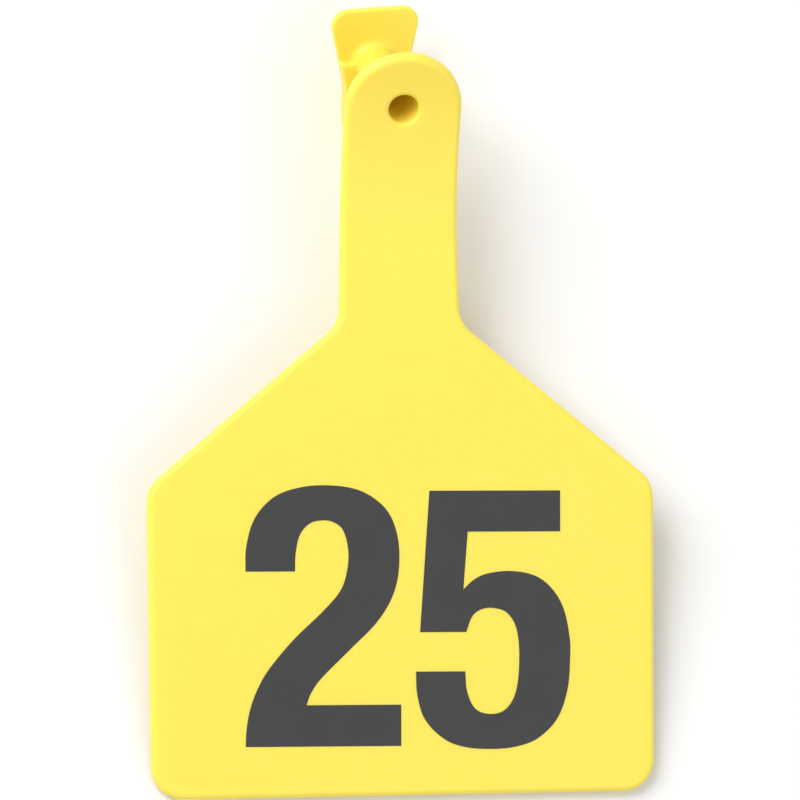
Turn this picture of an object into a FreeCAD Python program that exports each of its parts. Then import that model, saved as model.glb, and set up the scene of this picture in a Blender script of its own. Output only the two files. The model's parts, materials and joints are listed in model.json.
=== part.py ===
import FreeCAD, Part

import math
import os

import Sketcher

# One-piece livestock ear tag, moulded in flexible polyurethane, lying on its back.
# It is drawn with the front of its panel in the plane z = 0, its foot at y = 0 and its neck towards +Y.
# The last placement lays it down on the foot of the panel and the nose of the retaining bar.

# Lengths in millimetres, angles in degrees.
SIZES = {
    # panel
    "panel_width": 76.2,
    "foot_width": 75.6,
    "panel_side": 45.8,
    "shoulder_rise": 23.8,
    "corner_round": 4.75,
    "thickness": 2.1,
    # neck, bent forward along an arc
    "neck_width": 17.4,
    "neck_root_width": 18.1,
    "neck_root_round": 5.0,
    "taper_end": 90.0,
    "bend_start": 80.0,
    "bend_radius": 52.0,
    "bend_angle": 23.7,
    # soft rims of the moulding
    "front_round": 0.85,
    "back_round": 0.45,
    # socket for the applicator's pin, and the stem around it
    "pin_radius": 2.05,
    "pin_clearance": 0.15,
    "socket_depth": 14.0,
    "mouth_round": 0.7,
    "floor_round": 0.6,
    "stem_wall": 1.0,
    "ear_gap": 15.5,
    "stem_root_round": 1.5,
    "stem_end_round": 1.2,
    "stem_lean": 3.2,
    # retaining bar: a thin fan above the stem and a thick leg below it, turned a little about the stem
    "bar_turn": 3.0,
    "bar_round": 0.35,
    "fan_thickness": 1.4,
    "fan_width": 14.3,
    "fan_height": 8.9,
    "fan_corner": 2.5,
    "leg_rise": 1.6,
    "leg_width": 9.5,
    "leg_length": 12.5,
    "leg_top": 1.0,
    "waist_drop": 2.7,
    "waist_round": 12.0,
    "nose_round": 4.0,
    # room that the cutting shapes leave around the tag
    "spare": 8.0,
}


class Size:
    """A number together with the spreadsheet formula that gives it."""

    def __init__(self, number, formula):
        self.number = number
        self.formula = formula

    def joined(self, sign, other, number):
        return Size(number, "(%s %s %s)" % (self.formula, sign, other.formula))

    def __add__(self, other):
        other = fixed(other)
        return self.joined("+", other, self.number + other.number)

    def __sub__(self, other):
        other = fixed(other)
        return self.joined("-", other, self.number - other.number)

    def __mul__(self, other):
        other = fixed(other)
        return self.joined("*", other, self.number * other.number)

    def __truediv__(self, other):
        other = fixed(other)
        return self.joined("/", other, self.number / other.number)

    def __neg__(self):
        return Size(-self.number, "(-%s)" % self.formula)


def fixed(number):
    return number if isinstance(number, Size) else Size(number, repr(number))


def size(word):
    return Size(SIZES[word], "Sizes.%s" % word)


def sine(angle):
    return Size(math.sin(math.radians(angle.number)), "sin(%s)" % angle.formula)


def cosine(angle):
    return Size(math.cos(math.radians(angle.number)), "cos(%s)" % angle.formula)


doc = FreeCAD.newDocument("EarTag")
sheet = doc.addObject("Spreadsheet::Sheet", "Sizes")
for row, word in enumerate(SIZES, start=1):
    sheet.set("A%d" % row, word)
    sheet.set("B%d" % row, str(SIZES[word]))
    sheet.setAlias("B%d" % row, word)
doc.recompute()

body = doc.addObject("PartDesign::Body", "ear_tag")
body.Label = "ear_tag"
planes = {feature.Role: feature for feature in body.Origin.OriginFeatures}


def bind(thing, target, amount):
    thing.setExpression(target, amount.formula)


def new_sketch(name, plane, z=None):
    sketch = body.newObject("Sketcher::SketchObject", name)
    sketch.AttachmentSupport = [(planes[plane], "")]
    sketch.MapMode = "FlatFace"
    if z is not None:
        bind(sketch, "AttachmentOffset.Base.z", z)
    return sketch


# The socket's axis leaves the front of the bent neck here. The soft stem leans a little to the left of
# square, and the retaining bar is turned a little about it.
tilt = size("bend_angle")
side = size("stem_lean")
turn = size("bar_turn")
socket_y = size("bend_start") + size("bend_radius") * sine(tilt)
socket_z = size("bend_radius") * (fixed(1) - cosine(tilt))


def turns(*angles):
    """Turns about X, then the turned Y, then the turned Z, as a rotation and as its formula."""
    axes = ((1, 0, 0), (0, 1, 0), (0, 0, 1))
    rotation = FreeCAD.Rotation()
    formulas = []
    for axis, angle in zip(axes, angles):
        rotation = rotation * FreeCAD.Rotation(FreeCAD.Vector(*axis), angle.number)
        formulas.append("rotation(vector(%d; %d; %d); %s)" % (*axis, angle.formula))
    return rotation, " * ".join(formulas)


def placed_sketch(name, x, y, z, angles):
    """A sketch with its origin at x, y, z, turned by these angles."""
    sketch = new_sketch(name, "XY_Plane")
    rotation, formula = turns(*angles)
    sketch.AttachmentOffset = FreeCAD.Placement(FreeCAD.Vector(x.number, y.number, z.number), rotation)
    origin = "vector(%s; %s; %s)" % (x.formula, y.formula, z.formula)
    sketch.setExpression("AttachmentOffset", "placement(%s; %s)" % (origin, formula))
    return sketch


def stem_sketch(name, depth, turned=fixed(0)):
    """A sketch square to the stem and turned about it, its origin this deep below the front of the neck."""
    sunk = depth * cosine(side)
    y = socket_y + sunk * sine(tilt)
    z = socket_z - sunk * cosine(tilt)
    return placed_sketch(name, -depth * sine(side), y, z, (tilt, side, turned))


def pin_down(sketch, geometry, end, x, y):
    """Fixes one end of a piece of geometry at x, y from the sketch's origin."""
    for kind, amount in (("DistanceX", x), ("DistanceY", y)):
        index = sketch.addConstraint(Sketcher.Constraint(kind, -1, 1, geometry, end, amount.number))
        bind(sketch, "Constraints[%d]" % index, amount)


def close(sketch, first, last):
    """Joins the pieces of geometry first to last into one loop."""
    for index in range(first, last + 1):
        following = first if index == last else index + 1
        sketch.addConstraint(Sketcher.Constraint("Coincident", index, 2, following, 1))


def polygon(sketch, corners):
    points = [FreeCAD.Vector(x.number, y.number, 0) for x, y in corners]
    for start, end in zip(points, points[1:] + points[:1]):
        sketch.addGeometry(Part.LineSegment(start, end), False)
    close(sketch, 0, len(corners) - 1)
    for index, (x, y) in enumerate(corners):
        pin_down(sketch, index, 1, x, y)


def circle(sketch, radius):
    sketch.addGeometry(Part.Circle(FreeCAD.Vector(0, 0, 0), FreeCAD.Vector(0, 0, 1), radius.number), False)
    sketch.addConstraint(Sketcher.Constraint("Coincident", 0, 3, -1, 1))
    index = sketch.addConstraint(Sketcher.Constraint("Radius", 0, radius.number))
    bind(sketch, "Constraints[%d]" % index, radius)


def extrude(kind, name, sketch, length, reverse=False, both_ways=False):
    doc.recompute()
    feature = body.newObject("PartDesign::" + kind, name)
    feature.Profile = sketch
    feature.Length = length.number
    bind(feature, "Length", length)
    feature.Reversed = reverse
    if both_ways:
        feature.SideType = "Symmetric"
    doc.recompute()
    return feature


def soften(name, edges, radius):
    """Rounds the named edges of the newest feature."""
    if not edges:
        raise RuntimeError("%s finds no edges" % name)
    base = body.Tip
    feature = body.newObject("PartDesign::Fillet", name)
    feature.Base = (base, edges)
    feature.Radius = radius.number
    bind(feature, "Radius", radius)
    doc.recompute()
    if not feature.isValid():
        raise RuntimeError("%s fails" % name)
    return feature


def edges_where(test):
    """Names of the newest feature's edges whose ends and middle all pass the test."""
    names = []
    for index, edge in enumerate(body.Tip.Shape.Edges, start=1):
        middle = edge.valueAt((edge.FirstParameter + edge.LastParameter) / 2)
        if all(test(point) for point in [middle] + [vertex.Point for vertex in edge.Vertexes]):
            names.append("Edge%d" % index)
    return names


def rim_where(test):
    """Names of the edges that go once around the faces whose corners all pass the test."""
    shape = body.Tip.Shape
    uses = {}
    for face in shape.Faces:
        if all(test(vertex.Point) for vertex in face.Vertexes):
            for edge in face.Edges:
                uses.setdefault(edge.hashCode(), []).append(edge)
    names = []
    for index, edge in enumerate(shape.Edges, start=1):
        if len(uses.get(edge.hashCode(), [])) == 1:
            names.append("Edge%d" % index)
    return names


def near(a, b):
    return abs(a - b) < 0.001


# Panel, shoulders and neck seen from the front, as a tall block.
half_panel = size("panel_width") / 2
half_foot = size("foot_width") / 2
half_neck = size("neck_width") / 2
half_root = size("neck_root_width") / 2
shoulder_y = size("panel_side")
neck_y = shoulder_y + size("shoulder_rise")
taper_y = size("taper_end")
block_end = socket_y + half_neck + size("spare") / 4
outline = new_sketch("front_outline", "XY_Plane", -size("spare"))
right = [
    (half_neck, block_end),
    (half_neck, taper_y),
    (half_root, neck_y),
    (half_panel, shoulder_y),
    (half_foot, fixed(0)),
]
corners = right + [(-x, y) for x, y in reversed(right)]
points = [FreeCAD.Vector(x.number, y.number, 0) for x, y in corners]
sides = [Part.LineSegment(start, end) for start, end in zip(points, points[1:] + points[:1])]

# The flanks of the neck widen towards the shoulders along arcs that leave its straight sides smoothly.
taper_rise = taper_y - neck_y
taper_flare = half_root - half_neck
flank_radius = (taper_rise * taper_rise + taper_flare * taper_flare) / (taper_flare * 2)
flank_middle = half_neck + flank_radius
swing = math.asin(taper_rise.number / flank_radius.number)
flanks = ((1, flank_middle, math.pi), (7, -flank_middle, -swing))
for index, middle, first in flanks:
    hub = FreeCAD.Vector(middle.number, taper_y.number, 0)
    flank = Part.Circle(hub, FreeCAD.Vector(0, 0, 1), flank_radius.number)
    sides[index] = Part.ArcOfCircle(flank, first, first + swing)
for part in sides:
    outline.addGeometry(part, False)
close(outline, 0, len(sides) - 1)
for index, (x, y) in enumerate(corners):
    pin_down(outline, index, 1, x, y)
for index, middle, first in flanks:
    radius = outline.addConstraint(Sketcher.Constraint("Radius", index, flank_radius.number))
    bind(outline, "Constraints[%d]" % radius, flank_radius)
extrude("Pad", "front_block", outline, size("spare") * 3)


def upright_at(*heights):
    return edges_where(lambda point: any(near(point.y, height.number) for height in heights))


def upright(names):
    shape = body.Tip.Shape
    return [name for name in names if shape.getElement(name).BoundBox.ZLength > 1]


soften("corners", upright(upright_at(fixed(0), shoulder_y)), size("corner_round"))
soften("neck_roots", upright(upright_at(neck_y)), size("neck_root_round"))

# Side view: everything in front of the tag and everything behind it is cut away.
bend_y = size("bend_start")
bend_end = tilt * 1.8


def side_cut(name, offset, edge_z):
    """Cuts away what lies beyond the bent surface at this offset behind the front one, as far as edge_z."""
    radius = size("bend_radius") + offset
    far_y = bend_y + radius * sine(bend_end)
    far_z = size("bend_radius") - radius * cosine(bend_end)
    start_y = -size("spare")
    corners = [(start_y, -offset), (bend_y, -offset), (far_y, far_z), (far_y, edge_z), (start_y, edge_z)]
    points = [FreeCAD.Vector(y.number, z.number, 0) for y, z in corners]
    sides = [Part.LineSegment(start, end) for start, end in zip(points, points[1:] + points[:1])]
    hub = FreeCAD.Vector(bend_y.number, SIZES["bend_radius"], 0)
    bend = Part.Circle(hub, FreeCAD.Vector(0, 0, 1), radius.number)
    sides[1] = Part.ArcOfCircle(bend, -math.pi / 2, math.radians(bend_end.number) - math.pi / 2)
    sketch = new_sketch(name + "_outline", "YZ_Plane")
    for side in sides:
        sketch.addGeometry(side, False)
    close(sketch, 0, len(sides) - 1)
    for index in (0, 1, 3, 4):
        pin_down(sketch, index, 1, corners[index][0], corners[index][1])
    pin_down(sketch, 1, 3, bend_y, size("bend_radius"))
    reach = sketch.addConstraint(Sketcher.Constraint("DistanceX", -1, 1, 1, 2, far_y.number))
    bind(sketch, "Constraints[%d]" % reach, far_y)
    extrude("Pocket", name, sketch, size("panel_width") + size("spare"), both_ways=True)


side_cut("front_face", fixed(0), size("spare") * 2.5)
side_cut("back_face", size("thickness"), -size("spare") * 1.5)

# The neck ends in a half round about the middle of the socket's mouth.
room = half_neck + size("spare")
above = size("spare") / 2
above_y = socket_y - above * sine(tilt)
above_z = socket_z + above * cosine(tilt)
neck_end = placed_sketch("neck_end_outline", fixed(0), above_y, above_z, (tilt,))
frame = [(-half_neck, fixed(0)), (-room, fixed(0)), (-room, room), (room, room), (room, fixed(0))]
points = [FreeCAD.Vector(x.number, y.number, 0) for x, y in frame + [(half_neck, fixed(0))]]
for start, end in zip(points, points[1:]):
    neck_end.addGeometry(Part.LineSegment(start, end), False)
half_round = Part.Circle(FreeCAD.Vector(0, 0, 0), FreeCAD.Vector(0, 0, 1), half_neck.number)
neck_end.addGeometry(Part.ArcOfCircle(half_round, 0, math.pi), False)
close(neck_end, 0, len(frame))
for index, (x, y) in enumerate(frame):
    pin_down(neck_end, index, 1, x, y)
neck_end.addConstraint(Sketcher.Constraint("Coincident", len(frame), 3, -1, 1))
neck_end.addConstraint(Sketcher.Constraint("PointOnObject", len(frame), 1, -1))
extrude("Pocket", "neck_end", neck_end, size("spare") + size("thickness"))


def behind(point, offset):
    """How far a point lies behind the front surface less this offset, square to that surface."""
    if point.y <= SIZES["bend_start"]:
        return -point.z - offset
    reach = math.hypot(point.y - SIZES["bend_start"], SIZES["bend_radius"] - point.z)
    return reach - SIZES["bend_radius"] - offset


def on_front(point):
    return near(behind(point, 0), 0)


def on_back(point):
    return near(behind(point, SIZES["thickness"]), 0)


soften("front_rim", rim_where(on_front), size("front_round"))
soften("back_rim", rim_where(on_back), size("back_round"))

# The stem goes from inside the neck to the retaining bar.
bore = size("pin_radius") + size("pin_clearance")
stem_radius = bore + size("stem_wall")
root_depth = size("thickness")
fan_depth = root_depth + size("ear_gap")
tip_depth = fan_depth + size("fan_thickness")
stem = stem_sketch("stem_outline", root_depth / 2)
circle(stem, stem_radius)
extrude("Pad", "stem", stem, fan_depth + size("fan_thickness") / 2 - root_depth / 2, reverse=True)

socket_mouth = FreeCAD.Vector(0, socket_y.number, socket_z.number)
stem_frame = FreeCAD.Placement(socket_mouth, turns(tilt, side, turn)[0])


def on_stem(point):
    """Where a point lies from the stem: across the bar, along it, and out of the front of the neck."""
    return stem_frame.inverse().multVec(point)


def depth_of(point):
    return -on_stem(point).z


def off_axis(point):
    place = on_stem(point)
    return math.hypot(place.x, place.y)


def round_stem(point):
    return near(off_axis(point), stem_radius.number)


soften("stem_root", edges_where(lambda point: round_stem(point) and depth_of(point) < fan_depth.number / 2),
       size("stem_root_round"))


# Retaining bar, drawn square to the stem.
half_fan = size("fan_width") / 2
half_leg = size("leg_width") / 2
waist = -size("waist_drop")
bar_flare = (half_fan - half_leg) / (size("fan_height") + size("waist_drop"))
half_step = half_leg + bar_flare * (size("leg_top") + size("waist_drop"))
lower = [(half_leg, waist), (half_leg, -size("leg_length"))]


def bar_outline(name, half_top, top, depth):
    right = [(half_top, top)] + lower
    left = [(-across, along) for across, along in reversed(right)]
    sketch = stem_sketch(name, depth, turn)
    polygon(sketch, right + left)
    return sketch


fan = bar_outline("fan_outline", half_fan, size("fan_height"), fan_depth)
extrude("Pad", "fan", fan, size("fan_thickness"), reverse=True)
soften("stem_end", edges_where(lambda point: round_stem(point) and near(depth_of(point), fan_depth.number)),
       size("stem_end_round"))
leg = bar_outline("leg_outline", half_step, size("leg_top"), fan_depth)
extrude("Pad", "leg", leg, size("leg_rise"))


def bar_edges(test):
    """Names of edges on the bar whose points pass a test of their place across, along and deep."""
    def inside(point):
        place = on_stem(point)
        return -place.z > fan_depth.number - SIZES["leg_rise"] - 0.001 and test(place.x, place.y, -place.z)
    return edges_where(inside)


def corner(across, along):
    return bar_edges(lambda x, y, z: near(abs(x), across.number) and near(y, along.number))


soften("fan_corners", corner(half_fan, size("fan_height")), size("fan_corner"))
soften("waist", corner(half_leg, waist), size("waist_round"))
soften("nose_corners", corner(half_leg, -size("leg_length")), size("nose_round"))


def around_stem(point):
    return off_axis(point) < stem_radius.number + SIZES["stem_end_round"] + 0.001


def step_foot(across, along, depth):
    return near(along, SIZES["leg_top"]) and near(depth, fan_depth.number)


front_edges = set(bar_edges(lambda across, along, depth: depth < fan_depth.number + 0.001))
front_edges = front_edges.difference(edges_where(around_stem), bar_edges(step_foot))
soften("bar_front_rim", sorted(front_edges), size("bar_round"))
soften("bar_back_rim", rim_where(lambda point: near(depth_of(point), tip_depth.number)), size("back_round"))

# Blind socket for the applicator's pin.
mouth_spare = size("spare") / 4
socket = stem_sketch("socket_outline", -mouth_spare)
circle(socket, bore)
extrude("Pocket", "socket", socket, mouth_spare + size("socket_depth"))


def on_socket(point):
    return near(off_axis(point), bore.number)


def on_floor(point):
    return on_socket(point) and near(depth_of(point), SIZES["socket_depth"])


soften("socket_mouth", edges_where(lambda point: on_socket(point) and on_front(point)), size("mouth_round"))
soften("socket_floor", edges_where(on_floor), size("floor_round"))

# The tag rests on the rounded foot of the panel and a corner of the bar's nose, rounded with one radius.
# The middle of the corner's rounding is found across the bar, along it and down the stem, and then turned.
foot_y = size("back_round")
foot_z = size("back_round") - size("thickness")
across = half_leg - size("nose_round")
along = size("back_round") - size("leg_length")
drop = tip_depth - size("back_round")
turned_across = across * cosine(turn) - along * sine(turn)
turned_along = across * sine(turn) + along * cosine(turn)
sunk = turned_across * sine(side) + drop * cosine(side)
nose_y = socket_y + turned_along * cosine(tilt) + sunk * sine(tilt)
nose_z = socket_z + turned_along * sine(tilt) - sunk * cosine(tilt)
lean = Size(math.degrees(math.atan2(foot_z.number - nose_z.number, nose_y.number - foot_y.number)),
            "atan2(%s; %s)" % ((foot_z - nose_z).formula, (nose_y - foot_y).formula))
body.Placement = FreeCAD.Placement(FreeCAD.Vector(0, 0, 0), turns(lean)[0])
bind(body, "Placement.Rotation.Angle", lean)
doc.recompute()

# The origin lies on the ground under the middle of the tag.
box = body.Shape.optimalBoundingBox(False)
body.Placement.Base = FreeCAD.Vector(0, -box.Center.y, -box.ZMin)
doc.recompute()

for thing in doc.Objects:
    if "Invalid" in thing.State or "Error" in thing.State:
        raise RuntimeError("%s is not valid" % thing.Name)
if body.Shape.isNull() or not body.Shape.isValid() or len(body.Shape.Solids) != 1:
    raise RuntimeError("The tag is not one valid solid")
os.makedirs("parts", exist_ok=True)
body.Shape.exportStep("parts/ear_tag.step")
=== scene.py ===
import json
import math

import bpy
from mathutils import Matrix, Vector


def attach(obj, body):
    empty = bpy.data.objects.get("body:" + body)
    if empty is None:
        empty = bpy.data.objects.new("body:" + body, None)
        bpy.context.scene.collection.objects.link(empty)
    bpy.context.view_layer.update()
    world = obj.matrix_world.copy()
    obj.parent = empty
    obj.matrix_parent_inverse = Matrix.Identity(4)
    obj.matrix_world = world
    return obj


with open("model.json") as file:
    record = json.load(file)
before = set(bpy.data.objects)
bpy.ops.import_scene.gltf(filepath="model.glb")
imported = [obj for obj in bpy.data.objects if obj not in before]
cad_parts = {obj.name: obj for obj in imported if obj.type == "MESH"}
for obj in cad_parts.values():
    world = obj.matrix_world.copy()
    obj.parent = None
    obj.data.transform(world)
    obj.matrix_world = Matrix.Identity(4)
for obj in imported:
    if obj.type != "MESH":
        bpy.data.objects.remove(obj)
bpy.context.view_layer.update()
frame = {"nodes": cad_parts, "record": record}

MM = 0.001

# The tag's own places, in millimetres: along it from the foot, across it from the middle.
NUMBER_FACE_ALONG = 30.0
BEND_START = 80.0
BEND_RADIUS = 52.0
NUMBER_FOOT_ALONG = 7.3
NUMBER_ACROSS = 0.5
NUMBER_TURN = math.radians(-0.6)
INK_LIFT = 0.012

record = frame["record"]
mounts = {mount["name"]: mount for mount in record["mounts"]}
number_face = mounts["number_face"]
panel_out = Vector(number_face["axis"]).normalized()
panel_across = Vector((1, 0, 0))
panel_along = panel_out.cross(panel_across)
foot = Vector(number_face["pos_m"]) - panel_along * NUMBER_FACE_ALONG * MM


def on_front(across, along, lift=0.0):
    """A point of the front surface, which is flat up to the bend and round beyond it."""
    turn = max(along - BEND_START, 0.0) / BEND_RADIUS
    flat = min(along, BEND_START)
    reach = BEND_RADIUS - lift
    y = flat + (reach * math.sin(turn) if turn else 0.0)
    z = BEND_RADIUS - reach * math.cos(turn) if turn else lift
    return foot + (panel_across * across + panel_along * y + panel_out * z) * MM


# ---------------------------------------------------------------- materials


def new_material(name, color, roughness):
    material = bpy.data.materials.new(name)
    material.use_nodes = True
    shader = material.node_tree.nodes["Principled BSDF"]
    shader.inputs["Base Color"].default_value = (*color, 1.0)
    shader.inputs["Roughness"].default_value = roughness
    return material, material.node_tree.nodes, material.node_tree.links, shader


def noise(nodes, links, scale, detail=2.0):
    place = nodes.new("ShaderNodeTexCoord")
    texture = nodes.new("ShaderNodeTexNoise")
    texture.inputs["Scale"].default_value = scale
    texture.inputs["Detail"].default_value = detail
    links.new(place.outputs["Object"], texture.inputs["Vector"])
    return texture.outputs["Fac"]


def between(nodes, links, amount, low, high):
    """A colour that runs from low to high with an amount."""
    mix = nodes.new("ShaderNodeMix")
    mix.data_type = "RGBA"
    mix.inputs["A"].default_value = (*low, 1.0)
    mix.inputs["B"].default_value = (*high, 1.0)
    links.new(amount, mix.inputs["Factor"])
    return mix.outputs["Result"]


def span(nodes, links, amount, low, high):
    """An amount of 0 to 1 laid onto low to high."""
    lay = nodes.new("ShaderNodeMapRange")
    lay.inputs["To Min"].default_value = low
    lay.inputs["To Max"].default_value = high
    links.new(amount, lay.inputs["Value"])
    return lay.outputs["Result"]


def bump(nodes, links, height, distance):
    bumper = nodes.new("ShaderNodeBump")
    bumper.inputs["Strength"].default_value = 1.0
    bumper.inputs["Distance"].default_value = distance
    links.new(height, bumper.inputs["Height"])
    return bumper.outputs["Normal"]


def polyurethane():
    material, nodes, links, shader = new_material("tag_polyurethane", (0.97, 0.74, 0.09), 0.42)
    shader.inputs["Subsurface Weight"].default_value = 0.35
    shader.inputs["Subsurface Radius"].default_value = (1.0, 0.55, 0.06)
    shader.inputs["Subsurface Scale"].default_value = 0.0035
    cloud = noise(nodes, links, scale=55.0)
    color = between(nodes, links, cloud, low=(0.955, 0.735, 0.082), high=(0.975, 0.765, 0.100))
    links.new(color, shader.inputs["Base Color"])
    satin = noise(nodes, links, scale=900.0)
    links.new(span(nodes, links, satin, low=0.36, high=0.48), shader.inputs["Roughness"])
    grain = noise(nodes, links, scale=2600.0)
    links.new(bump(nodes, links, grain, distance=0.01 * MM), shader.inputs["Normal"])
    return material


def ink():
    material, nodes, links, shader = new_material("number_ink", (0.032, 0.032, 0.034), 0.5)
    cloud = noise(nodes, links, scale=160.0)
    color = between(nodes, links, cloud, low=(0.030, 0.030, 0.031), high=(0.036, 0.036, 0.038))
    links.new(color, shader.inputs["Base Color"])
    satin = noise(nodes, links, scale=1400.0)
    links.new(span(nodes, links, satin, low=0.45, high=0.58), shader.inputs["Roughness"])
    return material


tag_material = polyurethane()
ink_material = ink()
tag = frame["nodes"]["ear_tag"]
tag.data.materials.clear()
tag.data.materials.append(tag_material)


# ---------------------------------------------------------------- printed number

# Outlines of the digits in millimetres from the middle of their foot; SHARP points are corners.
SHARP = True
TWO = (
    (-24.44, 0.00, SHARP), (-24.32, 2.40), (-23.81, 5.35), (-22.75, 8.30), (-21.06, 11.25), (-17.31, 15.68),
    (-12.65, 20.10), (-10.15, 23.05), (-9.20, 26.00), (-9.06, 28.95), (-9.89, 31.90), (-11.38, 33.04),
    (-13.04, 33.26), (-14.85, 32.79), (-16.28, 31.17), (-16.92, 28.51), (-17.04, 25.77, SHARP),
    (-24.46, 25.77, SHARP), (-24.37, 29.25), (-23.19, 33.38), (-20.73, 36.33),
    (-17.70, 37.80), (-13.04, 38.45),
    (-7.72, 37.80), (-4.00, 35.59), (-2.11, 32.64), (-1.34, 28.22), (-2.01, 23.05), (-4.43, 18.63),
    (-8.82, 14.20), (-13.31, 9.78), (-14.70, 7.71), (-15.30, 6.09, SHARP), (-1.07, 6.09, SHARP),
    (-1.07, 0.00, SHARP),
)
FIVE = (
    (3.17, 37.60, SHARP), (22.95, 37.60, SHARP), (22.95, 31.54, SHARP), (8.96, 31.54, SHARP),
    (8.31, 23.05, SHARP), (10.00, 24.53), (11.99, 25.37), (15.61, 25.71), (19.22, 24.97), (21.74, 23.05),
    (23.48, 20.10), (24.41, 15.68), (24.47, 13.17), (24.08, 8.30), (22.50, 3.88),
    (19.48, 0.93), (16.15, -0.25),
    (12.59, -0.55), (8.64, -0.25), (5.46, 0.93), (2.49, 3.88), (1.33, 7.57), (1.13, 10.94, SHARP),
    (8.58, 10.94, SHARP), (8.90, 7.86), (10.19, 5.35), (12.59, 4.62), (14.73, 5.35), (16.21, 7.86),
    (16.74, 12.73), (16.33, 17.15), (14.93, 19.51), (12.89, 20.25), (11.13, 20.10), (9.73, 19.15),
    (8.75, 16.74, SHARP), (1.76, 16.74, SHARP),
)


def smooth_outline(knots, steps=8):
    """Points along an outline that is round at its plain knots and cornered at its sharp ones."""
    count = len(knots)
    spots = [Vector(knot[:2]) for knot in knots]
    sharp = [len(knot) == 3 for knot in knots]
    points = []
    for i in range(count):
        j = (i + 1) % count
        points.append(spots[i])
        if sharp[i] and sharp[j]:
            continue
        chord = spots[j] - spots[i]
        leave = chord if sharp[i] else (spots[j] - spots[i - 1]).normalized() * chord.length
        arrive = chord if sharp[j] else (spots[(j + 1) % count] - spots[i]).normalized() * chord.length
        for step in range(1, steps):
            t = step / steps
            points.append(
                spots[i] * (2 * t**3 - 3 * t**2 + 1)
                + leave * (t**3 - 2 * t**2 + t)
                + spots[j] * (-2 * t**3 + 3 * t**2)
                + arrive * (t**3 - t**2)
            )
    return points


def flat_piece(name, points, place, thick):
    """A thin plate with this outline, its corners put in place by a function of across, along and lift."""
    mesh = bpy.data.meshes.new(name)
    count = len(points)
    corners = [place(point.x, point.y, lift) for lift in (thick, 0.0) for point in points]
    sides = [(i, (i + 1) % count, (i + 1) % count + count, i + count) for i in range(count)]
    mesh.from_pydata(corners, [], [tuple(range(count)), tuple(range(2 * count - 1, count - 1, -1))] + sides)
    mesh.validate()
    mesh.update()
    piece = bpy.data.objects.new(name, mesh)
    bpy.context.scene.collection.objects.link(piece)
    return piece


def on_panel(across, along, lift):
    """A point of the number, which is printed a little off the middle and a little turned."""
    turned = Matrix.Rotation(NUMBER_TURN, 2) @ Vector((across, along))
    return on_front(NUMBER_ACROSS + turned.x, NUMBER_FOOT_ALONG + turned.y, lift)


for name, knots in (("number_two", TWO), ("number_five", FIVE)):
    digit = flat_piece(name, smooth_outline(knots), on_panel, INK_LIFT)
    digit.data.materials.append(ink_material)
    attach(digit, "root")


# ---------------------------------------------------------------- floor, light and camera


FLOOR_SIZE = 6.0
FLOOR_DROP = 0.0001
FLOOR_COLOR = (0.86, 0.86, 0.86)
SKY_STRENGTH = 0.55


def soft_floor():
    """A matt white that takes the shadow of the tag."""
    return new_material("floor_white", FLOOR_COLOR, roughness=0.9)[0]


bpy.ops.mesh.primitive_plane_add(size=FLOOR_SIZE, location=(0, 0, -FLOOR_DROP))
floor = bpy.context.object
floor.name = "floor"
floor.data.materials.append(soft_floor())

world = bpy.data.worlds.new("studio")
world.use_nodes = True
world.node_tree.nodes["Background"].inputs["Color"].default_value = (1.0, 1.0, 1.0, 1.0)
world.node_tree.nodes["Background"].inputs["Strength"].default_value = SKY_STRENGTH
bpy.context.scene.world = world


def lamp(name, place, size, power):
    """A square soft lamp, its side in metres and its power in watts, that points at the tag."""
    light = bpy.data.lights.new(name, "AREA")
    light.size = size
    light.energy = power
    item = bpy.data.objects.new(name, light)
    item.location = place
    item.rotation_euler = (-Vector(place)).to_track_quat("-Z", "Y").to_euler()
    bpy.context.scene.collection.objects.link(item)


lamp("key", (-0.55, 0.45, 0.75), size=0.7, power=9.0)
lamp("fill", (0.5, -0.6, 0.9), size=0.9, power=3.0)

# The camera looks nearly square at the panel, from a little to its left, through a long lens.
CAMERA_SIDE = math.radians(11.97)
CAMERA_RISE = math.radians(0.23)
CAMERA_ROLL = math.radians(0.61)
CAMERA_DISTANCE = 1.5
CAMERA_SENSOR = 36.0
PICTURE_PIXELS = 800
PIXELS_PER_MM = 6.787
AIM_ALONG = 57.0
AIM_SHIFT = Vector((-0.223, 1.283))

seen = (
    Matrix.Rotation(CAMERA_ROLL, 3, "Z")
    @ Matrix.Rotation(CAMERA_RISE, 3, "X")
    @ Matrix.Rotation(CAMERA_SIDE, 3, "Y")
)
panel_axes = Matrix((panel_across, panel_along, panel_out)).transposed()
axes = panel_axes @ seen.transposed()
aim = foot + panel_along * AIM_ALONG * MM
aim = aim + axes @ Vector((AIM_SHIFT.x, AIM_SHIFT.y, 0)) * MM
camera = bpy.data.cameras.new("camera")
camera.sensor_width = CAMERA_SENSOR
camera.lens = CAMERA_SENSOR * PIXELS_PER_MM / MM * CAMERA_DISTANCE / PICTURE_PIXELS
camera.clip_end = 20.0
eye = bpy.data.objects.new("camera", camera)
eye.matrix_world = Matrix.Translation(aim + axes @ Vector((0, 0, CAMERA_DISTANCE))) @ axes.to_4x4()
bpy.context.scene.collection.objects.link(eye)
bpy.context.scene.camera = eye
bpy.context.scene.view_settings.view_transform = "Standard"
